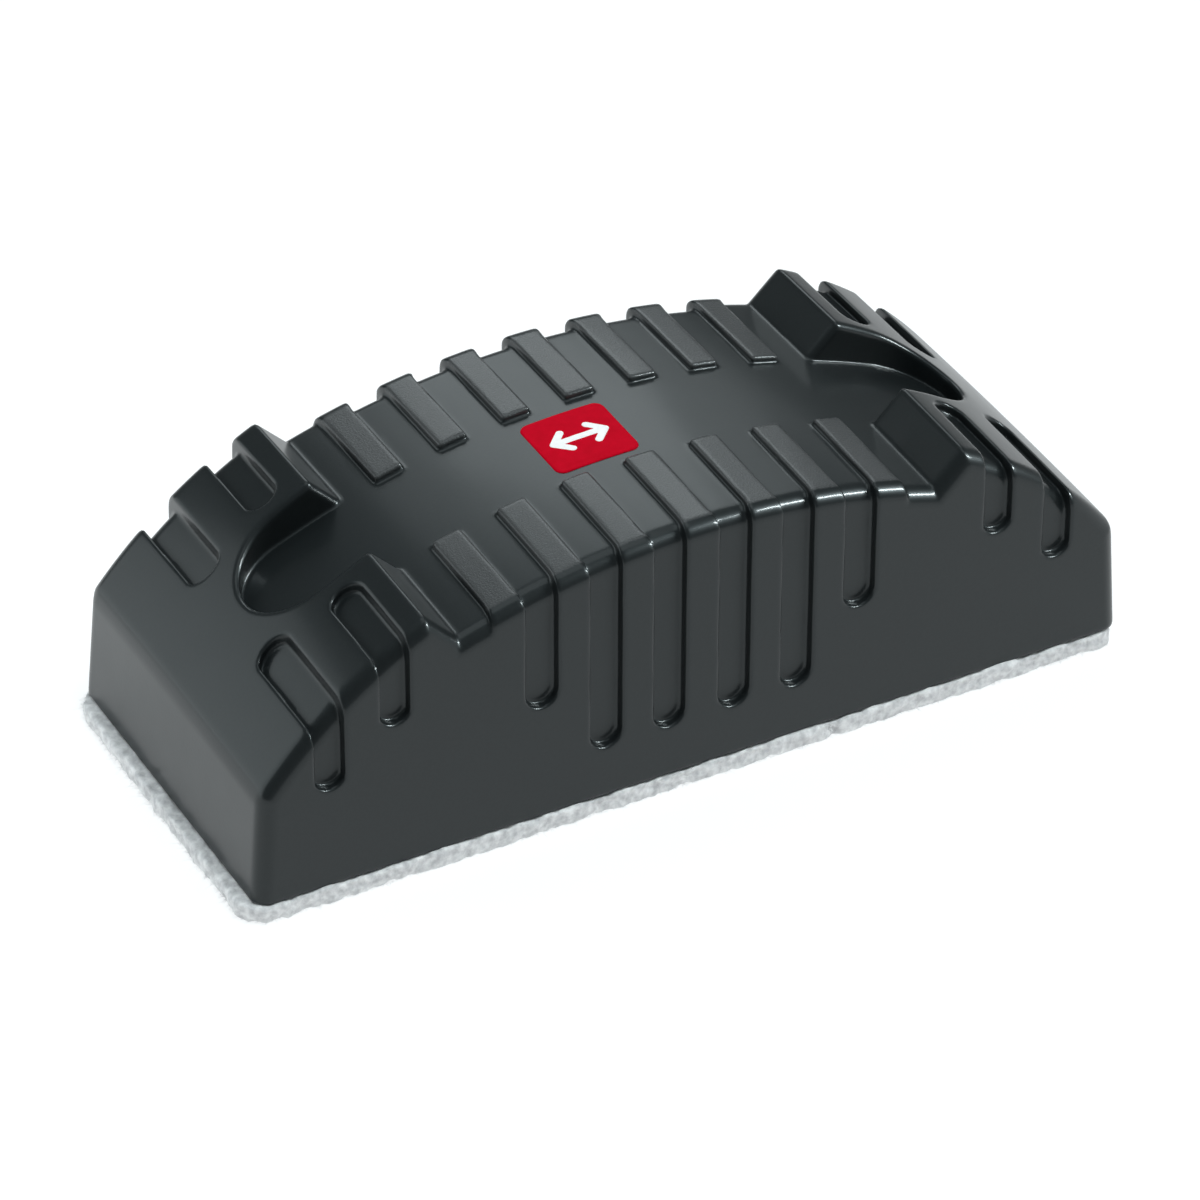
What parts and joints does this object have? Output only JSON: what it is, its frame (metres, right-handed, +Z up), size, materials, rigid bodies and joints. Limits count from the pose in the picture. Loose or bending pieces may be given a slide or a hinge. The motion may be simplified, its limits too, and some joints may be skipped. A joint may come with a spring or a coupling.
{
  "type": "board eraser",
  "caption": "Dry-wipe board eraser: ribbed, arched hand grip with thumb recesses, on a felt wiping pad that lifts off its hook tape.",
  "frame": {"origin": "centre of the felt's wiping face, at the bottom of the bounding box", "axes": "+X along the length, +Y across the width, +Z up from the wiping face through the grip"},
  "size_m": [0.149, 0.0604, 0.0467],
  "materials": {
    "grip_plastic": "satin moulded",
    "badge_red": "gloss",
    "plate_plastic": "matt moulded",
    "ferrite": "sintered",
    "hook_tape": "woven nylon hooks",
    "loop_fabric": "brushed loop knit",
    "felt": "needle felt"
  },
  "bodies": {
    "pad": {"felt_pad": "felt", "loop_backing": "loop_fabric"},
    "grip": {"grip_shell": "grip_plastic", "badge": "badge_red", "base_plate": "plate_plastic", "magnet_left": "ferrite", "magnet_right": "ferrite", "hook_strip_front": "hook_tape", "hook_strip_rear": "hook_tape"}
  },
  "joints": [
    {"name": "grip_lift", "type": "slide", "parent": "pad", "child": "grip", "axis": [0, 0, 1], "range_m": [0, 0.03]}
  ]
}
